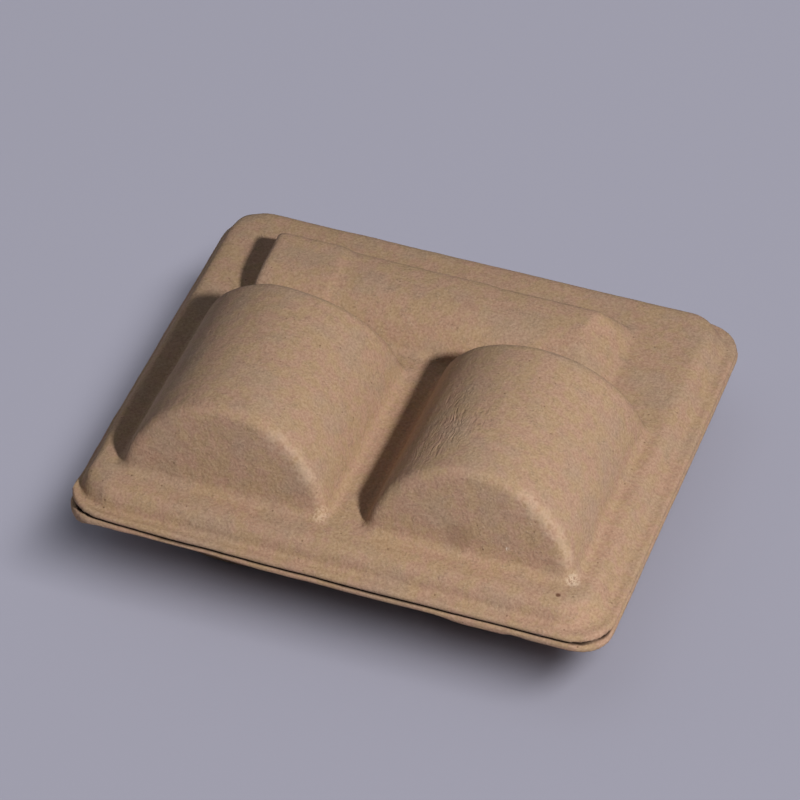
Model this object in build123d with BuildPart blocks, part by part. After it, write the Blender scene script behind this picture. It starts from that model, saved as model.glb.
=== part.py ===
"""Two-shell moulded pulp carrier for two cups laid on their sides and one long item behind them.

The upper and lower shells meet face to face at a flat rim. The origin is under the middle of the
rim, on the surface that the carrier rests on. X runs along the front edge and Y towards the back.
"""
from build123d import *
import os
from math import cos, radians, sqrt, tan

# Sheets of the two shells
wall = 3.2
upper_rim_thickness = 4.0
lower_rim_thickness = 3.8
lower_rim_inset = 0.3
rim_corner = 16.5
lower_rim_corner = 13.0
rim_edge_round = 1.2

# Seam between the shells: the upper rim is relieved along its outer edge
seam_gap = 1.0
seam_reach = 3.6

# Cup bays: round about an axis a little above the seam, flatter below it, ends leaning in
cup_radius = 42.5
lower_cup_depth = 31.9
cup_axis_rise = 4.6
cup_pitch = 99.4
cup_length = 96.3
cup_front_lean = 12.5
cup_back_lean = 13.0
cup_end_round = 4.2

# Long bay behind the cups: round about an axis on the seam, a little wider in two steps to its left
bay_radius = 24.8
bay_second_rise = 0.4
bay_first_rise = 1.2
bay_step_width = 2.6
bay_left_length = 36.3
bay_middle_length = 61.5
bay_left_lean = 14.0
bay_right_lean = 47.6
bay_end_round = 3.0
cup_to_bay = 1.65

# Lands of the platform between its foot and the bays
left_land = 14.1
right_land = 12.9
front_land = 13.3
back_land = 14.0
bay_left_land = 21.9
bay_right_land = 22.3

# Platform that stands up from the upper rim, and the flange left around its foot
platform_height = 11.2
platform_corner = 15.0
platform_side_lean = 38.0
platform_front_lean = 12.0
platform_top_round = 6.0
platform_foot_round = 2.2
left_flange = 2.5
right_flange = 5.5
front_flange = 5.4
back_flange = 3.1

# Roundings where raised forms meet the sheet they stand on, outside and inside
foot_round = 3.8
lower_foot_round = 1.2
inner_round = 1.2
inner_foot_round = 5.2
mouth_round = 1.5

# Flats pressed on the lower crests, which the carrier rests on
crest_flat_depth = 0.5

# How near to a height a face or an edge counts as lying at it
height_tolerance = 0.01

# Sizes that follow
bay_middle_radius = bay_radius + bay_second_rise
bay_left_radius = bay_middle_radius + bay_first_rise
platform_width = left_land + cup_radius + cup_pitch + cup_radius + right_land
platform_depth = front_land + cup_length + cup_to_bay + 2 * bay_left_radius + back_land
rim_width = left_flange + platform_width + right_flange
rim_depth = front_flange + platform_depth + back_flange
seam_height = lower_cup_depth - crest_flat_depth
lower_cup_radius = (cup_radius**2 + lower_cup_depth**2) / (2 * lower_cup_depth)
lower_cup_axis_rise = lower_cup_radius - lower_cup_depth
tall = cup_radius + cup_axis_rise + wall

# Places from left to right
platform_left = left_flange - rim_width / 2
left_cup = platform_left + left_land + cup_radius
cup_centres = (left_cup, left_cup + cup_pitch)
bay_left = platform_left + bay_left_land
bay_first_step = bay_left + bay_left_length
bay_second_step = bay_first_step + bay_middle_length
bay_right = platform_left + platform_width - bay_right_land

# Places from front to back
platform_front = front_flange - rim_depth / 2
cup_front = platform_front + front_land
cup_back = cup_front + cup_length
bay_axis_y = cup_back + cup_to_bay + bay_left_radius


def level_face(shape, height):
    """The largest horizontal face of a shape at one height."""
    level_faces = shape.faces().filter_by(Axis.Z)
    lowest, highest = height - height_tolerance, height + height_tolerance
    return level_faces.filter_by_position(Axis.Z, lowest, highest).sort_by(SortBy.AREA)[-1]


def round_ends(faces, radius):
    """Round the edges of the first and the last of some faces, apart from those on Z = 0."""
    ends = ShapeList([faces[0], faces[-1]])
    fillet([edge for edge in ends.edges() if edge.center().Z > height_tolerance], radius)


def cup_form(centre_x, outer_radius, axis_z, inset, end_round):
    """One cup bay as a solid that stands on Z = 0, lying `inset` inside the outer skin."""
    radius = outer_radius - inset
    spring_z = max(axis_z, 0)
    half_width = sqrt(radius**2 - (spring_z - axis_z) ** 2)
    front_inset = inset / cos(radians(cup_front_lean))
    back_inset = inset / cos(radians(cup_back_lean))
    with BuildPart() as form:
        with BuildSketch(Plane.XZ):
            with BuildLine():
                left_foot = (centre_x - half_width, 0)
                left_spring = (centre_x - half_width, spring_z)
                right_spring = (centre_x + half_width, spring_z)
                right_foot = (centre_x + half_width, 0)
                ThreePointArc(left_spring, (centre_x, axis_z + radius), right_spring)
                if spring_z > 0:
                    Line(left_foot, left_spring)
                    Line(right_spring, right_foot)
                Line(right_foot, left_foot)
            make_face()
        extrude(amount=rim_depth / 2, both=True)
        with BuildSketch(Plane.YZ.offset(centre_x)):
            with BuildLine():
                Polyline(
                    (cup_front + front_inset, 0),
                    (cup_front + front_inset + tall * tan(radians(cup_front_lean)), tall),
                    (cup_back - back_inset - tall * tan(radians(cup_back_lean)), tall),
                    (cup_back - back_inset, 0),
                    close=True,
                )
            make_face()
        extrude(amount=cup_radius, both=True, mode=Mode.INTERSECT)
        round_ends(form.faces().sort_by(Axis.Y), end_round)
    return form.part


def long_bay_form(inset, end_round):
    """The long bay as a solid that stands on Z = 0, lying `inset` inside the outer skin."""
    left_inset = inset / cos(radians(bay_left_lean))
    right_inset = inset / cos(radians(bay_right_lean))
    left_y = bay_axis_y + bay_left_radius - inset
    middle_y = bay_axis_y + bay_middle_radius - inset
    right_y = bay_axis_y + bay_radius - inset
    with BuildPart() as form:
        with BuildSketch():
            with BuildLine():
                Polyline((bay_first_step, left_y), (bay_left, left_y), (bay_left, bay_axis_y))
                Polyline((bay_left, bay_axis_y), (bay_right, bay_axis_y), (bay_right, right_y))
                Line((bay_right, right_y), (bay_second_step + bay_step_width, right_y))
                Spline(
                    (bay_second_step, middle_y),
                    (bay_second_step + bay_step_width, right_y),
                    tangents=((1, 0), (1, 0)),
                )
                Line((bay_first_step + bay_step_width, middle_y), (bay_second_step, middle_y))
                Spline(
                    (bay_first_step, left_y),
                    (bay_first_step + bay_step_width, middle_y),
                    tangents=((1, 0), (1, 0)),
                )
            make_face()
        revolve(axis=Axis((0, bay_axis_y, 0), (1, 0, 0)), revolution_arc=180)
        with BuildSketch(Plane.XZ.offset(-bay_axis_y)):
            with BuildLine():
                Polyline(
                    (bay_left + left_inset, 0),
                    (bay_left + left_inset + tall * tan(radians(bay_left_lean)), tall),
                    (bay_right - right_inset - tall * tan(radians(bay_right_lean)), tall),
                    (bay_right - right_inset, 0),
                    close=True,
                )
            make_face()
        extrude(amount=bay_left_radius, both=True, mode=Mode.INTERSECT)
        round_ends(form.faces().sort_by(Axis.X), end_round)
    return form.part


def platform_form(inset):
    """The platform as a block that stands on Z = 0, lying `inset` inside the outer skin.

    It is upright up to its foot on the rim, and from there its sides lean in more than its front and
    back.
    """
    centre = (platform_left + platform_width / 2, platform_front + platform_depth / 2)
    foot_z = upper_rim_thickness - inset * tan(radians(platform_side_lean / 2))
    top_z = platform_height - inset
    side_run = (top_z - foot_z) * tan(radians(platform_side_lean))
    front_run = (top_z - foot_z) * tan(radians(platform_front_lean))
    with BuildPart() as form:
        with BuildSketch(Plane.XY.offset(foot_z)) as foot:
            with Locations(centre):
                RectangleRounded(
                    platform_width - 2 * inset,
                    platform_depth - 2 * inset,
                    platform_corner - inset,
                )
        with BuildSketch(Plane.XY.offset(top_z)):
            with Locations(centre):
                RectangleRounded(
                    platform_width - 2 * (inset + side_run),
                    platform_depth - 2 * (inset + front_run),
                    platform_corner - inset - front_run,
                )
        loft(ruled=True)
        extrude(foot.sketch, amount=-foot_z)
        top_edges = form.faces().sort_by(Axis.Z)[-1].edges()
        fillet(top_edges, platform_top_round - inset)
    return form.part


def upper_cup_forms(inset, end_round):
    """Both cup bays above the seam."""
    return [cup_form(x, cup_radius, cup_axis_rise, inset, end_round) for x in cup_centres]


def lower_cup_forms(inset, end_round):
    """Both cup bays below the seam, as wide there and shallower, seen from underneath."""
    return [cup_form(x, lower_cup_radius, -lower_cup_axis_rise, inset, end_round) for x in cup_centres]


upper_cups = upper_cup_forms(0, cup_end_round)
upper_cup_hollows = upper_cup_forms(wall, inner_round)
lower_cups = lower_cup_forms(0, cup_end_round)
lower_cup_hollows = lower_cup_forms(wall, inner_round)
long_bay = long_bay_form(0, bay_end_round)
long_bay_hollow = long_bay_form(wall, inner_round)

# Space inside the upper shell
with BuildPart() as upper_hollow:
    add(platform_form(wall))
    for cup_hollow in upper_cup_hollows:
        add(cup_hollow)
    add(long_bay_hollow)
    ceiling = level_face(upper_hollow, platform_height - wall)
    fillet(ceiling.inner_wires().edges(), inner_foot_round)

# Upper shell, modelled upwards from the seam
with BuildPart() as upper_form:
    with BuildSketch():
        RectangleRounded(rim_width, rim_depth, rim_corner)
    extrude(amount=upper_rim_thickness)
    fillet(upper_form.faces().filter_by(Axis.Z).edges(), rim_edge_round)
    add(platform_form(0))
    rim_top = level_face(upper_form, upper_rim_thickness)
    fillet(rim_top.inner_wires().edges(), platform_foot_round)
    for cup in upper_cups:
        add(cup)
    add(long_bay)
    deck = level_face(upper_form, platform_height)
    fillet(deck.inner_wires().edges(), foot_round)
    add(upper_hollow.part, mode=Mode.SUBTRACT)
    with BuildSketch():
        RectangleRounded(rim_width + wall, rim_depth + wall, rim_corner)
        RectangleRounded(
            rim_width - 2 * seam_reach,
            rim_depth - 2 * seam_reach,
            rim_corner - seam_reach,
            mode=Mode.SUBTRACT,
        )
    extrude(amount=seam_gap, mode=Mode.SUBTRACT)

# Lower shell, modelled upwards from the seam and then turned over
with BuildPart() as lower_form:
    with BuildSketch():
        RectangleRounded(
            rim_width - 2 * lower_rim_inset,
            rim_depth - 2 * lower_rim_inset,
            lower_rim_corner,
        )
    extrude(amount=lower_rim_thickness)
    fillet(lower_form.faces().filter_by(Axis.Z).edges(), rim_edge_round)
    for cup in lower_cups:
        add(cup)
    add(long_bay)
    rim_top = level_face(lower_form, lower_rim_thickness)
    fillet(rim_top.inner_wires().edges(), lower_foot_round)
    for cup_hollow in lower_cup_hollows:
        add(cup_hollow, mode=Mode.SUBTRACT)
    add(long_bay_hollow, mode=Mode.SUBTRACT)
    fillet(level_face(lower_form, 0).inner_wires().edges(), mouth_round)
    split(bisect_by=Plane.XY.offset(seam_height), keep=Keep.BOTTOM)
    mirror(about=Plane.XY, mode=Mode.REPLACE)

# Both shells at their height above the resting surface
with BuildPart() as upper_shell:
    with Locations((0, 0, seam_height)):
        add(upper_form.part)
with BuildPart() as lower_shell:
    with Locations((0, 0, seam_height)):
        add(lower_form.part)

upper_shell.part.label = "upper_shell"
lower_shell.part.label = "lower_shell"

os.makedirs("parts", exist_ok=True)
export_step(upper_shell.part, "parts/upper_shell.step")
export_step(lower_shell.part, "parts/lower_shell.step")
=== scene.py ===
"""A closed carrier of two moulded pulp shells, with the look of rough undyed pulp.

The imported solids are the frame. Each shell is a copy of its solid, remeshed finely, moved in places,
softened and made uneven as pulp dries, with a fibrous material. Lengths are in metres unless a name says
otherwise.
"""

from math import cos, exp, pi, radians, sin, sqrt, tan

import bmesh
import bpy
from bpy.props import FloatProperty, FloatVectorProperty, IntProperty, PointerProperty
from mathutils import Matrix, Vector, noise


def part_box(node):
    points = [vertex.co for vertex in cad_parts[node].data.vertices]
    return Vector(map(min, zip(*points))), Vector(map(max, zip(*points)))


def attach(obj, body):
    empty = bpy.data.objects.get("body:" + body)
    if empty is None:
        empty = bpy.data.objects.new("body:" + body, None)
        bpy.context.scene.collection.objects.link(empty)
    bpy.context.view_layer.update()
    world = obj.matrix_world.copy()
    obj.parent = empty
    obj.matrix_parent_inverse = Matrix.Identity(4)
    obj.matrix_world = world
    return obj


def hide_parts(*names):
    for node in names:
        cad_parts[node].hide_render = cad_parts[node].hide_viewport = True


bl_info = {
    "name": "Moulded Pulp Carrier",
    "version": (1, 0, 0),
    "blender": (4, 5, 0),
    "location": "View3D > Sidebar > Carrier",
    "description": "Builds a two-shell moulded pulp carrier around its packed solids",
    "category": "Add Mesh",
}

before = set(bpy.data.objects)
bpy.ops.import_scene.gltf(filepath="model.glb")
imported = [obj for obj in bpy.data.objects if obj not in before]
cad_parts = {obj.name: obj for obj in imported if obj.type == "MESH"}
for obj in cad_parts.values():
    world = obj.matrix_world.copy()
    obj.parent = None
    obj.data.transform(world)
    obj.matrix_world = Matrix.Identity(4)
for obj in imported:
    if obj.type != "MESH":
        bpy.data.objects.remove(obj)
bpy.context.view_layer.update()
upper_low, upper_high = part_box("upper_shell")
seam_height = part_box("lower_shell")[1].z

# Edges that turn more than this stay crisp
CREASE_ANGLE = radians(50)

# Points of a solid's mesh that lie closer than this are one point
WELD_DISTANCE = 1e-6

# Faintly blue light of the room
ROOM_COLOUR = (0.91, 0.97, 1.07, 1.0)


class ShellSizes(bpy.types.PropertyGroup):
    """How both shells are remeshed, moved in places and made uneven."""

    voxel: FloatProperty(
        name="Voxel", description="Grid that the shells are remeshed on", default=0.00122, unit="LENGTH"
    )
    softening: IntProperty(
        name="Softening", description="Passes that round the edges off", default=2, min=0
    )
    sag_depth: FloatProperty(
        name="Sag depth", description="How far the broad dents of drying go", default=0.00025,
        unit="LENGTH",
    )
    sag_length: FloatProperty(
        name="Sag length", description="How broad the dents of drying are", default=0.032, unit="LENGTH"
    )
    ripple_depth: FloatProperty(
        name="Ripple depth", description="How far the small dents go", default=0.00010, unit="LENGTH"
    )
    ripple_length: FloatProperty(
        name="Ripple length", description="How broad the small dents are", default=0.009, unit="LENGTH"
    )
    lump_depth: FloatProperty(
        name="Lump depth", description="How far single lumps of pulp stand out", default=0.00006,
        unit="LENGTH",
    )
    lump_length: FloatProperty(
        name="Lump length", description="How broad single lumps are", default=0.0032, unit="LENGTH"
    )
    seam_gap: FloatProperty(
        name="Seam gap", description="How high the slit between the rims is", default=0.0012, unit="LENGTH"
    )
    seam_reach: FloatProperty(
        name="Seam reach", description="How deep the slit between the rims is", default=0.0036, unit="LENGTH"
    )
    seam_corner: FloatProperty(
        name="Seam corner", description="Corner radius of the rim that is slit", default=0.0165,
        unit="LENGTH",
    )
    seam_segments: IntProperty(
        name="Seam segments", description="How many flats the slit has round a corner", default=16, min=1
    )
    corner_lift: FloatProperty(
        name="Corner lift", description="How far the front left corner of both rims lifts",
        default=0.0030, unit="LENGTH",
    )
    corner_reach: FloatProperty(
        name="Corner reach", description="How far along the rim the lift is felt", default=0.032,
        unit="LENGTH",
    )
    platform_lift: FloatProperty(
        name="Platform lift", description="Share of that lift that the platform takes", default=0.3
    )
    corner_unevenness: FloatProperty(
        name="Corner unevenness", description="How much more uneven the pulp is at that corner", default=3.0
    )
    lower_rim_thickness: FloatProperty(
        name="Lower rim thickness", description="How thick the lower rim is", default=0.0038, unit="LENGTH"
    )
    crease_depth: FloatProperty(
        name="Crease depth", description="How deep the crease along the platform's foot is at that corner",
        default=0.0015, unit="LENGTH",
    )
    crease_width: FloatProperty(
        name="Crease width", description="How far to each side of the foot the crease is felt",
        default=0.0030, unit="LENGTH",
    )
    crease_reach: FloatProperty(
        name="Crease reach", description="How far along the rim the crease is felt", default=0.12,
        unit="LENGTH",
    )
    lip_width: FloatProperty(
        name="Lip width", description="How wide the rim's lip is that lifts more than the platform",
        default=0.0045, unit="LENGTH",
    )
    lip_inset: FloatProperty(
        name="Lip inset", description="How far inside the platform's foot the lip begins", default=0.0010,
        unit="LENGTH",
    )
    foot_inset: FloatVectorProperty(
        name="Foot inset",
        description="How far the platform's foot lies inside the rim, at the left and in front",
        size=2, subtype="XYZ", unit="LENGTH", default=(0.0025, 0.0054),
    )
    foot_corner: FloatProperty(
        name="Foot corner", description="Corner radius of the platform's foot", default=0.015,
        unit="LENGTH",
    )
    upper_rim_thickness: FloatProperty(
        name="Upper rim thickness", description="How thick the upper rim is", default=0.0040,
        unit="LENGTH",
    )
    platform_height: FloatProperty(
        name="Platform height", description="How high the platform stands over the seam", default=0.0112,
        unit="LENGTH",
    )
    platform_flare: FloatVectorProperty(
        name="Platform flare",
        description="How far the platform's top edge moves out, at the left and behind",
        size=2, subtype="XYZ", unit="LENGTH", default=(0.0026, 0.0018),
    )
    shoulder_shift: FloatProperty(
        name="Shoulder shift",
        description="How far the left cup bay's end moves back, on its left shoulder", default=0.0018,
        unit="LENGTH",
    )
    bay_height: FloatProperty(
        name="Bay height", description="How high the long bay stands over the platform", default=0.0136,
        unit="LENGTH",
    )
    bay_end_shift: FloatVectorProperty(
        name="Bay end shift",
        description="How far the long bay's left end moves in, at its foot and at its top",
        size=2, subtype="XYZ", unit="LENGTH", default=(0.0021, 0.0010),
    )
    bay_back_shift: FloatProperty(
        name="Bay back shift", description="How far the long bay's foot moves in behind it", default=0.0020,
        unit="LENGTH",
    )
    bay_shoulder: FloatProperty(
        name="Bay shoulder",
        description="By how much of its height the long bay's back shoulder is fuller", default=0.26,
    )
    step_softening: IntProperty(
        name="Step softening", description="More passes on the two steps of the long bay", default=6, min=0
    )


class PulpLooks(bpy.types.PropertyGroup):
    """Colours and grain of the pulp."""

    rosy_colour: FloatVectorProperty(
        name="Rosy pulp", description="Tone of the rosy patches", subtype="COLOR", size=3,
        default=(0.441, 0.266, 0.179), min=0, max=1,
    )
    ochre_colour: FloatVectorProperty(
        name="Ochre pulp", description="Tone of the yellowish patches", subtype="COLOR", size=3,
        default=(0.430, 0.281, 0.163), min=0, max=1,
    )
    grey_colour: FloatVectorProperty(
        name="Grey pulp", description="Tone of the greyish patches", subtype="COLOR", size=3,
        default=(0.400, 0.273, 0.187), min=0, max=1,
    )
    pale_colour: FloatVectorProperty(
        name="Pale fibres", description="Colour of pale fibres", subtype="COLOR", size=3,
        default=(0.62, 0.44, 0.30), min=0, max=1,
    )
    dark_colour: FloatVectorProperty(
        name="Dark fibres", description="Colour of dark fibres and specks", subtype="COLOR", size=3,
        default=(0.165, 0.090, 0.048), min=0, max=1,
    )
    grain_length: FloatProperty(
        name="Grain", description="Size of the finest grain", default=0.0010, unit="LENGTH"
    )
    clump_length: FloatProperty(
        name="Clumps", description="Size of the clumps of fibres", default=0.0040, unit="LENGTH"
    )
    pale_fibre_length: FloatProperty(
        name="Pale fibre length", description="How long the pale fibres are", default=0.0022, unit="LENGTH"
    )
    dark_fibre_length: FloatProperty(
        name="Dark fibre length", description="How long the dark fibres are", default=0.0017, unit="LENGTH"
    )
    speck_length: FloatProperty(
        name="Specks", description="How far apart the specks may lie", default=0.0032, unit="LENGTH"
    )
    patch_length: FloatProperty(
        name="Patches", description="Size of the rosy and yellowish patches", default=0.0065, unit="LENGTH"
    )
    grey_length: FloatProperty(
        name="Grey patches", description="Size of the greyish patches", default=0.01625, unit="LENGTH"
    )
    wrinkle_length: FloatProperty(
        name="Wrinkles", description="How far apart the wrinkles of the right cup bay's shoulder are",
        default=0.0027, unit="LENGTH",
    )
    bump_depth: FloatProperty(
        name="Bump", description="Depth of the fibrous surface", default=0.00034, unit="LENGTH"
    )
    roughness: FloatProperty(name="Roughness", description="How matt the pulp is", default=0.92)
    gloss: FloatProperty(name="Gloss", description="How much the pulp mirrors", default=0.2)


class StageLooks(bpy.types.PropertyGroup):
    """Floor, lamps and camera."""

    floor_colour: FloatVectorProperty(
        name="Floor", description="Colour of the floor", subtype="COLOR", size=3,
        default=(0.343, 0.335, 0.402), min=0, max=1,
    )
    floor_reach: FloatProperty(
        name="Floor reach", description="How far the floor goes to each side", default=6.0, unit="LENGTH"
    )
    key_azimuth: FloatProperty(
        name="Key azimuth", description="Where the key lamp stands, from the front towards the right",
        default=radians(54.5), subtype="ANGLE",
    )
    key_elevation: FloatProperty(
        name="Key elevation", description="How high the key lamp stands", default=radians(44),
        subtype="ANGLE",
    )
    key_distance: FloatProperty(
        name="Key distance", description="How far the key lamp stands from the carrier", default=1.4,
        unit="LENGTH",
    )
    key_light: FloatProperty(
        name="Key light", description="Light of the key lamp on a surface that faces it", default=3.0
    )
    key_width: FloatProperty(
        name="Key width", description="How wide the key lamp looks", default=radians(5), subtype="ANGLE"
    )
    floor_azimuth: FloatProperty(
        name="Floor lamp azimuth", description="Where the floor's lamp stands", default=radians(66),
        subtype="ANGLE",
    )
    floor_elevation: FloatProperty(
        name="Floor lamp elevation", description="How high the floor's lamp stands", default=radians(58),
        subtype="ANGLE",
    )
    floor_light: FloatProperty(
        name="Floor light", description="Light of the floor's lamp on a surface that faces it", default=3.42
    )
    floor_lamp_width: FloatProperty(
        name="Floor lamp width", description="How wide the floor's lamp looks", default=radians(18),
        subtype="ANGLE",
    )
    floor_lamp_length: FloatProperty(
        name="Floor lamp length", description="How long the floor's lamp looks", default=radians(54),
        subtype="ANGLE",
    )
    floor_lamp_distance: FloatProperty(
        name="Floor lamp distance", description="How far the floor's lamp stands", default=9.0,
        unit="LENGTH",
    )
    shadow_fill: FloatProperty(
        name="Shadow fill", description="Even light on the floor, in the shadow too", default=0.44
    )
    room_strength: FloatProperty(
        name="Room light", description="Middle strength of the room", default=0.15
    )
    room_slant: FloatVectorProperty(
        name="Room slant", description="Where the room is brighter, and by how much", subtype="XYZ", size=3,
        default=(-0.16, 0.17, -0.02),
    )
    view_azimuth: FloatProperty(
        name="View azimuth", description="Where the camera stands, from the front towards the right",
        default=radians(19.77), subtype="ANGLE",
    )
    view_elevation: FloatProperty(
        name="View elevation", description="How high the camera stands", default=radians(42.94),
        subtype="ANGLE",
    )
    view_distance: FloatProperty(
        name="View distance", description="How far the camera stands from what it looks at",
        default=1.752, unit="LENGTH",
    )
    view_reach: FloatProperty(
        name="View reach", description="How far away the camera still sees", default=20.0, unit="LENGTH"
    )
    view_target: FloatVectorProperty(
        name="View target", description="What the camera looks at", subtype="XYZ", size=3, unit="LENGTH",
        default=(-0.0085, 0.01175, seam_height),
    )
    lens_mm: FloatProperty(name="Lens", description="Focal length in millimetres", default=200.4)


class Channel:
    """A number in a material. Arithmetic on channels adds the Math nodes for it."""

    def __init__(self, finish, socket):
        self.finish = finish
        self.socket = socket

    def __add__(self, other):
        return self.finish.maths("ADD", self, other)

    def __sub__(self, other):
        return self.finish.maths("SUBTRACT", self, other)

    def __rsub__(self, other):
        return self.finish.maths("SUBTRACT", other, self)

    def __mul__(self, other):
        return self.finish.maths("MULTIPLY", self, other)


class Finish:
    """A material or a world, and its nodes."""

    def __init__(self, data):
        self.data = data
        data.use_nodes = True
        self.nodes = data.node_tree.nodes
        self.links = data.node_tree.links
        self.nodes.clear()

    def add(self, kind, settings, inputs, output=0):
        """Adds any node: its settings first, then a value or a link on each of its inputs."""
        node = self.nodes.new(kind)
        for name, value in settings.items():
            setattr(node, name, value)
        for name, value in inputs.items():
            if isinstance(value, Channel):
                self.links.new(value.socket, node.inputs[name])
            else:
                node.inputs[name].default_value = value
        return Channel(self, node.outputs[output])

    def show(self, shader, end="ShaderNodeOutputMaterial"):
        """Ends the nodes with a shader."""
        output = self.nodes.new(end)
        self.links.new(shader.socket, output.inputs["Surface"])
        return self.data

    def maths(self, operation, *values):
        """One Math node on channels and numbers."""
        return self.add("ShaderNodeMath", {"operation": operation}, dict(enumerate(values)))

    def noise(self, place, length, detail=2.0, roughness=0.5, distortion=0.0):
        """Noise whose lumps are about one length across."""
        inputs = {
            "Vector": place, "Scale": 1 / length, "Detail": detail, "Roughness": roughness,
            "Distortion": distortion,
        }
        return self.add("ShaderNodeTexNoise", {}, inputs)

    def step(self, value, low, high):
        """0 below low and 1 above high, with a soft rise between them."""
        settings = {"interpolation_type": "SMOOTHSTEP"}
        inputs = {"Value": value, "From Min": low, "From Max": high}
        return self.add("ShaderNodeMapRange", settings, inputs)

    def line(self, field, middle, fade):
        """1 where a noise has its middle value, falling to 0 beside it."""
        away = self.maths("ABSOLUTE", field - middle)
        return 1 - self.step(away, *fade)

    def spot(self, place, middle, reach):
        """1 at the middle of a spot, falling to 0 where it ends."""
        settings = {"operation": "DISTANCE"}
        away = self.add("ShaderNodeVectorMath", settings, {0: place, 1: middle}, output="Value")
        return 1 - self.step(away, reach * SPOT_CORE, reach)

    def mix(self, share, below, above):
        """A colour that goes from below to above as share goes from 0 to 1."""
        # Inputs 6 and 7 and output 2 are the node's colours
        settings = {"data_type": "RGBA"}
        return self.add("ShaderNodeMix", settings, {0: share, 6: below, 7: above}, output=2)


# Where the underside of the rim's front rises from left to right, and by how much
UNDERSIDE_RISES = (
    (-0.104, -0.094, 0.0025), (-0.060, -0.026, -0.0014), (0.042, 0.055, -0.0016), (0.069, 0.073, 0.0009),
    (0.076, 0.080, -0.0004),
)

# Where those rises fade out, from the front to the back
UNDERSIDE_BACK = (-0.084, -0.076)

# Where the platform's flare fades out, from the left and from the back edge of the rim inwards
FLARE_LEFT = (0.0095, 0.0135)
FLARE_BACK = (0.0075, 0.0155)

# Where the left cup bay's left shoulder fades out at its right, in front and behind
SHOULDER_RIGHT = (-0.066, -0.042)
SHOULDER_FRONT = (-0.015, 0.012)
SHOULDER_BACK = (0.0235, 0.0265)

# Where the long bay's left end fades out on its four sides
BAY_END_LEFT = (-0.097, -0.090)
BAY_END_RIGHT = (-0.076, -0.060)
BAY_END_FRONT = (0.023, 0.030)
BAY_END_BACK = (0.074, 0.080)

# Where the long bay's back foot and back shoulder fade out, in front and behind
BAY_FOOT_FRONT = (0.055, 0.066)
BAY_FOOT_BACK = (0.076, 0.084)
BAY_SHOULDER_FRONT = (0.049, 0.062)
BAY_SHOULDER_BACK = (0.0615, 0.069)

# Where the long bay's steps are, along the carrier, and how far forward they go
BAY_STEPS = ((-0.052, -0.0435), (0.0095, 0.018))
BAY_STEPS_FRONT = 0.025

# Where each tone of the pulp comes in, over a span of its noise, downwards for the dark grain
ROSY_SPAN = (0.38, 0.62)
GREY_SPAN = (0.45, 0.70)
PALE_GRAIN_SPAN = (0.45, 0.78)
DARK_GRAIN_SPAN = (0.55, 0.22)

# How much of the pulp each tone covers where it is strongest
GREY_SHARE = 0.60
PALE_GRAIN_SHARE = 0.38
DARK_GRAIN_SHARE = 0.34
PALE_FIBRE_SHARE = 0.42
DARK_FIBRE_SHARE = 0.40
SPECK_SHARE = 0.65
WORN_AND_HIGHLIGHT_SHARE = 0.34

# Fibres lie where a noise has a middle value, and only over some of the clumps
NOISE_MIDDLE = 0.5
PALE_FIBRE_FADE = (0.004, 0.020)
PALE_CLUMPS = (0.48, 0.60)
DARK_FIBRE_MIDDLE = 0.47
DARK_FIBRE_FADE = (0.004, 0.016)
DARK_CLUMPS = (0.40, 0.52)

# Specks: where each fades from its middle outwards, and which of them are seen
SPECK_FADE = (0.06, 0.16)
SPECK_CHOICE = (0.84, 0.88)

# Grain that the pale flecks and painted highlights at the cup fronts' feet show on, and clumps that the wear
# and painted highlight along the cup fronts' edges show on
FOOT_FLECK_AND_HIGHLIGHT_GRAIN = (0.40, 0.55)
WORN_AND_HIGHLIGHT_CLUMPS = (0.35, 0.60)

# How far each part of the fibrous surface stands out or goes in, in depths of its bumps
GRAIN_BUMP = 0.5
CLUMP_BUMP = 0.9
FIBRE_BUMP = 0.25
SPECK_DENT = 0.3
WRINKLE_DENT = 4

# Share of a mark's reach that it covers evenly
SPOT_CORE = 0.4

# Marks on the upper shell: the middle of each, how far it reaches, how much it covers and its colour
BROWN_SPECK = ((0.0870, -0.0800, 0.0426), 0.0013, 0.85, (0.120, 0.045, 0.025))
SOFT_STAIN = ((0.0445, -0.0703, 0.0505), 0.0075, 0.30, (0.200, 0.120, 0.070))
WHITE_FLECK = ((0.0639, -0.0705, 0.0501), 0.0011, 0.95, (0.800, 0.700, 0.580))
# Pale flecks with painted highlight at the lit right feet of the cup bays' fronts
RIGHT_FOOT_FLECKS_AND_HIGHLIGHT = ((0.0900, -0.0715, 0.0432), 0.0036, 0.55, (0.720, 0.560, 0.400))
LEFT_FOOT_FLECKS_AND_HIGHLIGHT = ((-0.0108, -0.0712, 0.0440), 0.0045, 0.40, (0.680, 0.500, 0.350))

# Pale wear and painted highlight on the lit right halves of the cup bays' front edges: the middle of each
# mark and how far it reaches
WORN_AND_HIGHLIGHT_EDGES = (
    ((0.0693, -0.0664, 0.0715), 0.0075), ((0.0762, -0.0675, 0.0665), 0.0080),
    ((0.0820, -0.0689, 0.0601), 0.0075), ((0.0863, -0.0705, 0.0527), 0.0060),
    ((-0.0301, -0.0664, 0.0715), 0.0070), ((-0.0232, -0.0675, 0.0665), 0.0070),
    ((-0.0174, -0.0689, 0.0601), 0.0065),
)
WORN_AND_HIGHLIGHT_COLOUR = (0.640, 0.460, 0.325)

# The right cup bay's left shoulder is wrinkled lengthwise
WRINKLE_MIDDLE = (0.0195, -0.0360, 0.0665)
WRINKLE_REACH = 0.034
WRINKLE_SQUEEZE = (1.0, 0.3, 1.0)

# Painted shade deep in the seam, on top of the slit's own shadow: its colour, the heights from the seam over
# which it comes in, and the height at which it ends, in heights of the slit
PAINTED_SEAM_SHADE = (0.035, 0.018, 0.010)
SEAM_SHADE_START = (-0.0006, -0.0002)
SEAM_SHADE_END = 1.2


def opaque(colour):
    """A colour with nothing seen through it."""
    return (*colour, 1.0)


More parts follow.
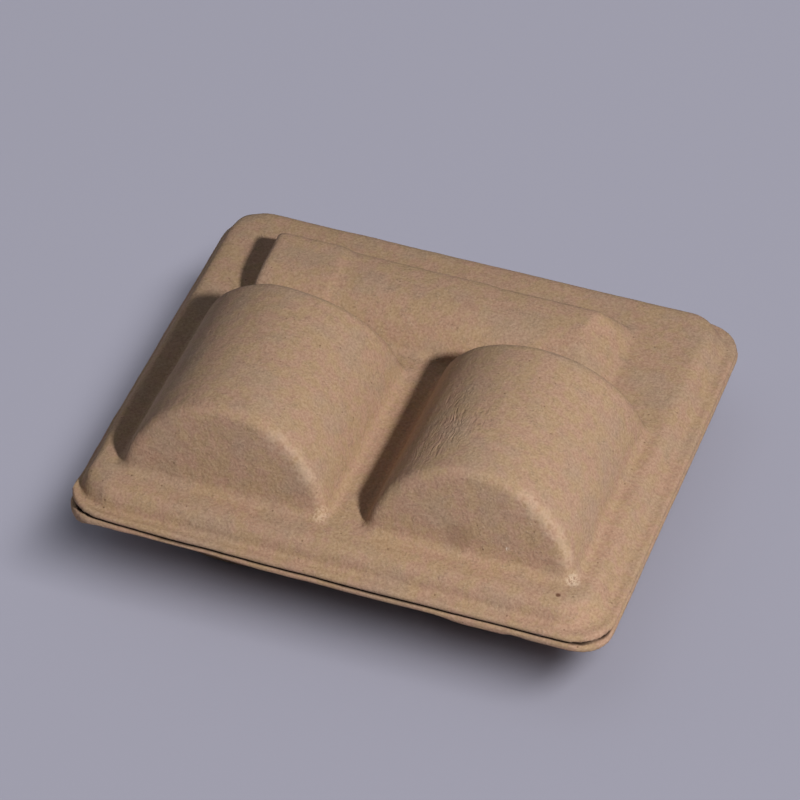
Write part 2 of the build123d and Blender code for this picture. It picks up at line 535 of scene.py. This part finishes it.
def painted_seam_shade(pulp, place, sizes):
    """Where shade is painted: 1 in the slit between the rims, which follows the lift of the front left
    corner.
    """
    height = pulp.add("ShaderNodeSeparateXYZ", {}, {"Vector": place}, output="Z")
    flat = pulp.add("ShaderNodeVectorMath", {"operation": "MULTIPLY"}, {0: place, 1: (1, 1, 0)})
    corner = {0: flat, 1: (upper_low.x, upper_low.y, 0)}
    away = pulp.add("ShaderNodeVectorMath", {"operation": "DISTANCE"}, corner, output="Value")
    lift = pulp.maths("EXPONENT", away * (-1 / sizes.corner_reach)) * sizes.corner_lift
    over = height - seam_height - lift
    above = pulp.step(over, sizes.seam_gap, sizes.seam_gap * SEAM_SHADE_END)
    return pulp.step(over, *SEAM_SHADE_START) * (1 - above)


def pulp_finish(looks, sizes):
    """Undyed moulded pulp: mottled, flecked with dark and pale fibres, matt and slightly hairy."""
    pulp = Finish(bpy.data.materials.new("moulded_pulp"))
    place = pulp.add("ShaderNodeTexCoord", {}, {}, output="Object")
    grain = pulp.noise(place, looks.grain_length, detail=3.0, roughness=0.6)
    clump = pulp.noise(place, looks.clump_length)
    rosy_field = pulp.noise(place, looks.patch_length, detail=3.0, roughness=0.6)
    grey_field = pulp.noise(place, looks.grey_length)

    pale_field = pulp.noise(place, looks.pale_fibre_length, detail=1.5, distortion=1.6)
    pale_line = pulp.line(pale_field, NOISE_MIDDLE, PALE_FIBRE_FADE)
    pale_fibre = pale_line * pulp.step(clump, *PALE_CLUMPS)
    dark_field = pulp.noise(place, looks.dark_fibre_length, detail=1.5, distortion=2.0)
    dark_line = pulp.line(dark_field, DARK_FIBRE_MIDDLE, DARK_FIBRE_FADE)
    dark_fibre = dark_line * (1 - pulp.step(clump, *DARK_CLUMPS))

    speck_place = {"Vector": place, "Scale": 1 / looks.speck_length}
    speck_near = pulp.add("ShaderNodeTexVoronoi", {}, speck_place, output="Distance")
    speck_tone = pulp.add("ShaderNodeTexVoronoi", {}, speck_place, output="Color")
    speck_parts = pulp.add("ShaderNodeSeparateColor", {}, {"Color": speck_tone})
    speck = (1 - pulp.step(speck_near, *SPECK_FADE)) * pulp.step(speck_parts, *SPECK_CHOICE)

    pale = opaque(looks.pale_colour)
    dark = opaque(looks.dark_colour)
    rosy_share = pulp.step(rosy_field, *ROSY_SPAN)
    tone = pulp.mix(rosy_share, opaque(looks.ochre_colour), opaque(looks.rosy_colour))
    tone = pulp.mix(pulp.step(grey_field, *GREY_SPAN) * GREY_SHARE, tone, opaque(looks.grey_colour))
    tone = pulp.mix(pulp.step(grain, *PALE_GRAIN_SPAN) * PALE_GRAIN_SHARE, tone, pale)
    tone = pulp.mix(pulp.step(grain, *DARK_GRAIN_SPAN) * DARK_GRAIN_SHARE, tone, dark)
    tone = pulp.mix(pale_fibre * PALE_FIBRE_SHARE, tone, pale)
    tone = pulp.mix(dark_fibre * DARK_FIBRE_SHARE, tone, dark)
    tone = pulp.mix(speck * SPECK_SHARE, tone, dark)
    for middle, reach, share, colour in (BROWN_SPECK, SOFT_STAIN):
        tone = pulp.mix(pulp.spot(place, middle, reach) * share, tone, opaque(colour))
    # Pale flecks, and painted highlight at the right feet of the cup fronts
    for middle, reach, share, colour in (RIGHT_FOOT_FLECKS_AND_HIGHLIGHT, LEFT_FOOT_FLECKS_AND_HIGHLIGHT, WHITE_FLECK):
        fleck_and_highlight_share = pulp.spot(place, middle, reach) * pulp.step(grain, *FOOT_FLECK_AND_HIGHLIGHT_GRAIN) * share
        tone = pulp.mix(fleck_and_highlight_share, tone, opaque(colour))
    # Pale wear and painted highlight on the lit right halves of the cup fronts' edges
    for middle, reach in WORN_AND_HIGHLIGHT_EDGES:
        worn_and_highlight_share = pulp.spot(place, middle, reach) * pulp.step(clump, *WORN_AND_HIGHLIGHT_CLUMPS) * WORN_AND_HIGHLIGHT_SHARE
        tone = pulp.mix(worn_and_highlight_share, tone, opaque(WORN_AND_HIGHLIGHT_COLOUR))
    # Painted shade in the slit between the rims
    tone = pulp.mix(painted_seam_shade(pulp, place, sizes), tone, opaque(PAINTED_SEAM_SHADE))

    squeeze = {0: place, 1: WRINKLE_SQUEEZE}
    along = pulp.add("ShaderNodeVectorMath", {"operation": "MULTIPLY"}, squeeze)
    wrinkle_field = pulp.noise(along, looks.wrinkle_length, distortion=1.0)
    wrinkle = pulp.maths("ABSOLUTE", wrinkle_field - NOISE_MIDDLE)
    wrinkle = wrinkle * pulp.spot(place, WRINKLE_MIDDLE, WRINKLE_REACH)
    raised = grain * GRAIN_BUMP + clump * CLUMP_BUMP + pale_fibre * FIBRE_BUMP
    height = raised - speck * SPECK_DENT - wrinkle * WRINKLE_DENT
    bump = pulp.add("ShaderNodeBump", {}, {"Distance": looks.bump_depth, "Height": height})
    surface = pulp.add("ShaderNodeBsdfPrincipled", {}, {
        "Base Color": tone, "Roughness": looks.roughness, "Specular IOR Level": looks.gloss,
        "Normal": bump,
    })
    return pulp.show(surface)


def floor_finish(looks):
    """A plain matt floor."""
    floor = Finish(bpy.data.materials.new("plain_floor"))
    surface = floor.add("ShaderNodeBsdfDiffuse", {}, {"Color": opaque(looks.floor_colour)})
    return floor.show(surface)


def room_light(looks):
    """Soft light from all round, stronger from one side."""
    room = Finish(bpy.data.worlds.new("room"))
    towards = room.add("ShaderNodeTexCoord", {}, {}, output="Generated")
    slant = {0: towards, 1: tuple(looks.room_slant)}
    share = room.add("ShaderNodeVectorMath", {"operation": "DOT_PRODUCT"}, slant, output="Value")
    strength = room.maths("MAXIMUM", share + looks.room_strength, 0.0)
    sky = room.add("ShaderNodeBackground", {}, {"Color": ROOM_COLOUR, "Strength": strength})
    return room.show(sky, end="ShaderNodeOutputWorld")


def uneven(point, sizes):
    """How far a point of the pulp stands out from the even surface."""
    sag = noise.noise(point / sizes.sag_length) * sizes.sag_depth
    ripple = noise.noise(point / sizes.ripple_length) * sizes.ripple_depth
    lump = noise.noise(point / sizes.lump_length) * sizes.lump_depth
    return sag + ripple + lump


def share_between(value, low, high):
    """0 at low or below it and 1 at high or above it, with an even rise between them."""
    return min(max((value - low) / (high - low), 0), 1)


def rise(value, low, high):
    """0 below low and 1 above high, with a soft rise between them."""
    share = share_between(value, low, high)
    return share * share * (3 - 2 * share)


def band(value, start, end):
    """1 between two spans, with a soft rise over the first and a soft fall over the second."""
    return rise(value, *start) * (1 - rise(value, *end))


def smooth(shell, vertices, passes):
    """Rounds a shell off at some of its points."""
    for _ in range(passes):
        bmesh.ops.smooth_vert(
            shell, verts=vertices, factor=0.5, use_axis_x=True, use_axis_y=True, use_axis_z=True
        )


def corner_share(point, reach):
    """1 at the front left corner of the rim, falling to 0 away from it."""
    away = Vector((point.x - upper_low.x, point.y - upper_low.y)).length
    return exp(-away / reach)


def outside_foot(point, sizes):
    """How far a point lies outside the platform's foot, near the front left corner."""
    corner_x = upper_low.x + sizes.foot_inset[0] + sizes.foot_corner
    corner_y = upper_low.y + sizes.foot_inset[1] + sizes.foot_corner
    return Vector((max(corner_x - point.x, 0), max(corner_y - point.y, 0))).length - sizes.foot_corner


def flare_platform(shell, sizes):
    """Moves the platform's top edge out at the left and behind, where its sides stand steep."""
    foot = seam_height + sizes.upper_rim_thickness
    top = seam_height + sizes.platform_height
    for vertex in shell.verts:
        share = sqrt(share_between(vertex.co.z, foot, top))
        left = 1 - rise(vertex.co.x - upper_low.x, *FLARE_LEFT)
        back = 1 - rise(upper_high.y - vertex.co.y, *FLARE_BACK)
        vertex.co.x -= sizes.platform_flare[0] * share * left
        vertex.co.y += sizes.platform_flare[1] * share * back


def fill_left_shoulder(shell, sizes):
    """Moves the back end of the left cup bay back, on its left shoulder."""
    foot = seam_height + sizes.platform_height
    for vertex in shell.verts:
        share = sqrt(share_between(vertex.co.z, foot, upper_high.z))
        left = 1 - rise(vertex.co.x, *SHOULDER_RIGHT)
        back = band(vertex.co.y, SHOULDER_FRONT, SHOULDER_BACK)
        vertex.co.y += sizes.shoulder_shift * share * left * back


def shape_long_bay(shell, sizes):
    """Moves the long bay's left end and its foot behind it in, and softens its steps."""
    foot = seam_height + sizes.platform_height
    foot_shift, top_shift = sizes.bay_end_shift
    for vertex in shell.verts:
        share = share_between(vertex.co.z, foot, foot + sizes.bay_height)
        end = band(vertex.co.x, BAY_END_LEFT, BAY_END_RIGHT)
        end *= band(vertex.co.y, BAY_END_FRONT, BAY_END_BACK)
        vertex.co.x += end * (foot_shift + (top_shift - foot_shift) * share)
        back = band(vertex.co.y, BAY_FOOT_FRONT, BAY_FOOT_BACK)
        shoulder = share_between(vertex.co.y, *BAY_SHOULDER_FRONT) ** 2
        shoulder *= 1 - rise(vertex.co.y, *BAY_SHOULDER_BACK)
        vertex.co.z += max(vertex.co.z - foot, 0) * sizes.bay_shoulder * shoulder
        vertex.co.y -= sizes.bay_back_shift * back * (1 - share) ** 3
    for low, high in BAY_STEPS:
        step = [
            vertex for vertex in shell.verts
            if low < vertex.co.x < high and vertex.co.y > BAY_STEPS_FRONT and vertex.co.z > foot
        ]
        smooth(shell, step, sizes.step_softening)


def corner_rise(point, sizes):
    """How far the rims rise at the front left corner, where a crease follows the platform's foot."""
    outside = outside_foot(point, sizes)
    lip = rise(outside, -sizes.lip_inset, sizes.lip_width)
    share = sizes.platform_lift + (1 - sizes.platform_lift) * lip
    lift = corner_share(point, sizes.corner_reach) * sizes.corner_lift * share
    crease = exp(-((outside / sizes.crease_width) ** 2))
    return lift - corner_share(point, sizes.crease_reach) * sizes.crease_depth * crease


def raise_upper_rim(shell, sizes):
    """Lifts the front left corner of the upper rim, and the platform there a little."""
    for vertex in shell.verts:
        vertex.co.z += corner_rise(vertex.co, sizes)


def raise_lower_rim(shell, sizes):
    """Lifts the lower rim as the upper one lifts, and steps the underside of its front."""
    for vertex in shell.verts:
        depth = share_between(seam_height - vertex.co.z, 0, sizes.lower_rim_thickness)
        front = 1 - rise(vertex.co.y, *UNDERSIDE_BACK)
        steps = sum(height * rise(vertex.co.x, low, high) for low, high, height in UNDERSIDE_RISES)
        vertex.co.z += corner_rise(vertex.co, sizes) * (1 - depth) + steps * depth * front


def form_object(form, name):
    """An object with a bmesh's form, which ends the bmesh."""
    mesh = bpy.data.meshes.new(name)
    form.to_mesh(mesh)
    form.free()
    thing = bpy.data.objects.new(name, mesh)
    bpy.context.scene.collection.objects.link(thing)
    return thing


def modified(form, kind, settings):
    """What one modifier makes of a bmesh, as a new bmesh."""
    thing = form_object(form, "form")
    modifier = thing.modifiers.new(kind.capitalize(), kind)
    for name, value in settings.items():
        setattr(modifier, name, value)
    depsgraph = bpy.context.evaluated_depsgraph_get()
    result = bmesh.new()
    result.from_mesh(bpy.data.meshes.new_from_object(thing.evaluated_get(depsgraph)))
    bpy.data.objects.remove(thing)
    return result


def remeshed(node, voxel):
    """A copy of a solid's mesh on an even grid, as a bmesh."""
    solid = bmesh.new()
    solid.from_mesh(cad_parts[node].data)
    bmesh.ops.remove_doubles(solid, verts=solid.verts, dist=WELD_DISTANCE)
    return modified(solid, "REMESH", {"mode": "VOXEL", "voxel_size": voxel})


def slit(shell, sizes):
    """Cuts the seam into the outer edge of the upper rim, as a crisp slit of an even height."""
    margin = sizes.seam_reach
    # A square of one metre, scaled to the rim and a margin round it
    ring = bmesh.new()
    bmesh.ops.create_grid(ring, x_segments=1, y_segments=1, size=0.5)
    middle = (upper_low + upper_high) / 2
    size = upper_high - upper_low
    bmesh.ops.scale(ring, vec=(size.x + 2 * margin, size.y + 2 * margin, 1), verts=ring.verts)
    bmesh.ops.translate(ring, vec=(middle.x, middle.y, seam_height - margin), verts=ring.verts)
    bmesh.ops.bevel(
        ring, geom=ring.verts[:], affect="VERTICES", offset=sizes.seam_corner + margin,
        segments=sizes.seam_segments, profile=0.5, material=-1,
    )
    inner = ring.faces[:]
    bmesh.ops.inset_region(ring, faces=inner, thickness=margin + sizes.seam_reach, use_even_offset=True)
    bmesh.ops.delete(ring, geom=inner, context="FACES")
    bmesh.ops.solidify(ring, geom=ring.faces[:], thickness=-(margin + sizes.seam_gap))
    bmesh.ops.recalc_face_normals(ring, faces=ring.faces)
    cutter = form_object(ring, "seam_ring")
    cut = modified(shell, "BOOLEAN", {"operation": "DIFFERENCE", "solver": "EXACT", "object": cutter})
    bpy.data.objects.remove(cutter)
    return cut


def finished_shell(shell, name, node):
    """Makes a piece of a shell's bmesh, in place of its solid."""
    for face in shell.faces:
        face.smooth = True
    piece = form_object(shell, name)
    piece.data.set_sharp_from_angle(angle=CREASE_ANGLE)
    piece.data.materials.append(bpy.data.materials["moulded_pulp"])
    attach(piece, "root")
    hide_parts(node)


def soften(shell, sizes):
    """Rounds a shell's edges and makes its surface uneven."""
    smooth(shell, shell.verts, sizes.softening)
    shell.normal_update()
    for vertex in shell.verts:
        share = 1 + corner_share(vertex.co, sizes.corner_reach) * sizes.corner_unevenness
        vertex.co += vertex.normal * uneven(vertex.co, sizes) * share


class CARRIER_OT_pulp(bpy.types.Operator):
    """Make the pulp material"""

    bl_idname = "carrier.pulp"
    bl_label = "Pulp"

    def execute(self, context):
        pulp_finish(context.scene.carrier_pulp, context.scene.carrier_shells)
        return {"FINISHED"}


class CARRIER_OT_upper_shell(bpy.types.Operator):
    """Make the upper shell, whose rim lifts a little at the front left corner"""

    bl_idname = "carrier.upper_shell"
    bl_label = "Upper shell"

    def execute(self, context):
        sizes = context.scene.carrier_shells
        shell = remeshed("upper_shell", sizes.voxel)
        flare_platform(shell, sizes)
        fill_left_shoulder(shell, sizes)
        shape_long_bay(shell, sizes)
        soften(shell, sizes)
        shell = slit(shell, sizes)
        raise_upper_rim(shell, sizes)
        finished_shell(shell, "upper_shell_pulp", "upper_shell")
        return {"FINISHED"}


class CARRIER_OT_lower_shell(bpy.types.Operator):
    """Make the lower shell, whose rim lifts with the upper one"""

    bl_idname = "carrier.lower_shell"
    bl_label = "Lower shell"

    def execute(self, context):
        sizes = context.scene.carrier_shells
        shell = remeshed("lower_shell", sizes.voxel)
        soften(shell, sizes)
        raise_lower_rim(shell, sizes)
        finished_shell(shell, "lower_shell_pulp", "lower_shell")
        return {"FINISHED"}


def stand(azimuth, elevation):
    """The direction towards something that stands at an azimuth and an elevation."""
    return Vector((sin(azimuth) * cos(elevation), -cos(azimuth) * cos(elevation), sin(elevation)))


def area_lamp(name, azimuth, elevation, distance, light):
    """A lamp that looks at the carrier and gives it so much light."""
    lamp = bpy.data.objects.new(name, bpy.data.lights.new(name, "AREA"))
    lamp.data.energy = light * pi * distance**2
    towards_lamp = stand(azimuth, elevation)
    lamp.location = towards_lamp * distance
    lamp.rotation_euler = towards_lamp.to_track_quat("Z", "Y").to_euler()
    bpy.context.scene.collection.objects.link(lamp)
    return lamp


def shine_on(lamp, things):
    """Lets a lamp light only some things. The others still cast shadows in its light."""
    lit = bpy.data.collections.new(lamp.name + "_lights")
    for thing in things:
        lit.objects.link(thing)
    lamp.light_linking.receiver_collection = lit


class CARRIER_OT_stage(bpy.types.Operator):
    """Make the floor, the lamps and the camera"""

    bl_idname = "carrier.stage"
    bl_label = "Stage"

    def execute(self, context):
        looks = context.scene.carrier_stage
        scene = context.scene
        floor_form = bmesh.new()
        bmesh.ops.create_grid(floor_form, x_segments=1, y_segments=1, size=looks.floor_reach)
        floor = form_object(floor_form, "floor")
        floor.data.materials.append(floor_finish(looks))

        key = area_lamp("key", looks.key_azimuth, looks.key_elevation, looks.key_distance, looks.key_light)
        key.data.shape = "DISK"
        key.data.size = 2 * looks.key_distance * tan(looks.key_width / 2)
        shine_on(key, [bpy.data.objects["upper_shell_pulp"], bpy.data.objects["lower_shell_pulp"]])
        over = area_lamp(
            "over_floor", looks.floor_azimuth, looks.floor_elevation, looks.floor_lamp_distance,
            looks.floor_light,
        )
        over.data.shape = "RECTANGLE"
        over.data.size = 2 * looks.floor_lamp_distance * tan(looks.floor_lamp_length / 2)
        over.data.size_y = 2 * looks.floor_lamp_distance * tan(looks.floor_lamp_width / 2)
        shine_on(over, [floor])
        fill = area_lamp("floor_fill", 0, pi / 2, looks.floor_lamp_distance, looks.shadow_fill)
        fill.data.size = looks.floor_lamp_distance
        fill.data.use_shadow = False
        shine_on(fill, [floor])
        scene.world = room_light(looks)

        camera_data = bpy.data.cameras.new("camera")
        camera_data.lens = looks.lens_mm
        camera_data.clip_end = looks.view_reach
        camera = bpy.data.objects.new("camera", camera_data)
        towards_camera = stand(looks.view_azimuth, looks.view_elevation)
        camera.location = Vector(looks.view_target) + towards_camera * looks.view_distance
        camera.rotation_euler = towards_camera.to_track_quat("Z", "Y").to_euler()
        scene.collection.objects.link(camera)
        scene.camera = camera
        scene.view_settings.view_transform = "Standard"
        return {"FINISHED"}


class CARRIER_PT_panel(bpy.types.Panel):
    """Lists what the carrier is made of"""

    bl_label = "Pulp Carrier"
    bl_idname = "CARRIER_PT_panel"
    bl_space_type = "VIEW_3D"
    bl_region_type = "UI"
    bl_category = "Carrier"

    def draw(self, context):
        for operator in OPERATORS:
            self.layout.operator(operator.bl_idname)
        for group_name, group in GROUPS.items():
            for name in group.__annotations__:
                self.layout.prop(getattr(context.scene, group_name), name)


GROUPS = {"carrier_shells": ShellSizes, "carrier_pulp": PulpLooks, "carrier_stage": StageLooks}
OPERATORS = (CARRIER_OT_pulp, CARRIER_OT_upper_shell, CARRIER_OT_lower_shell, CARRIER_OT_stage)


def register():
    for group in GROUPS.values():
        bpy.utils.register_class(group)
    for name, group in GROUPS.items():
        setattr(bpy.types.Scene, name, PointerProperty(type=group))
    for operator in OPERATORS:
        bpy.utils.register_class(operator)
    bpy.utils.register_class(CARRIER_PT_panel)


def unregister():
    bpy.utils.unregister_class(CARRIER_PT_panel)
    for operator in reversed(OPERATORS):
        bpy.utils.unregister_class(operator)
    for name in GROUPS:
        delattr(bpy.types.Scene, name)
    for group in reversed(GROUPS.values()):
        bpy.utils.unregister_class(group)


def main():
    register()
    bpy.ops.carrier.pulp()
    bpy.ops.carrier.upper_shell()
    bpy.ops.carrier.lower_shell()
    bpy.ops.carrier.stage()


if __name__ == "__main__":
    main()
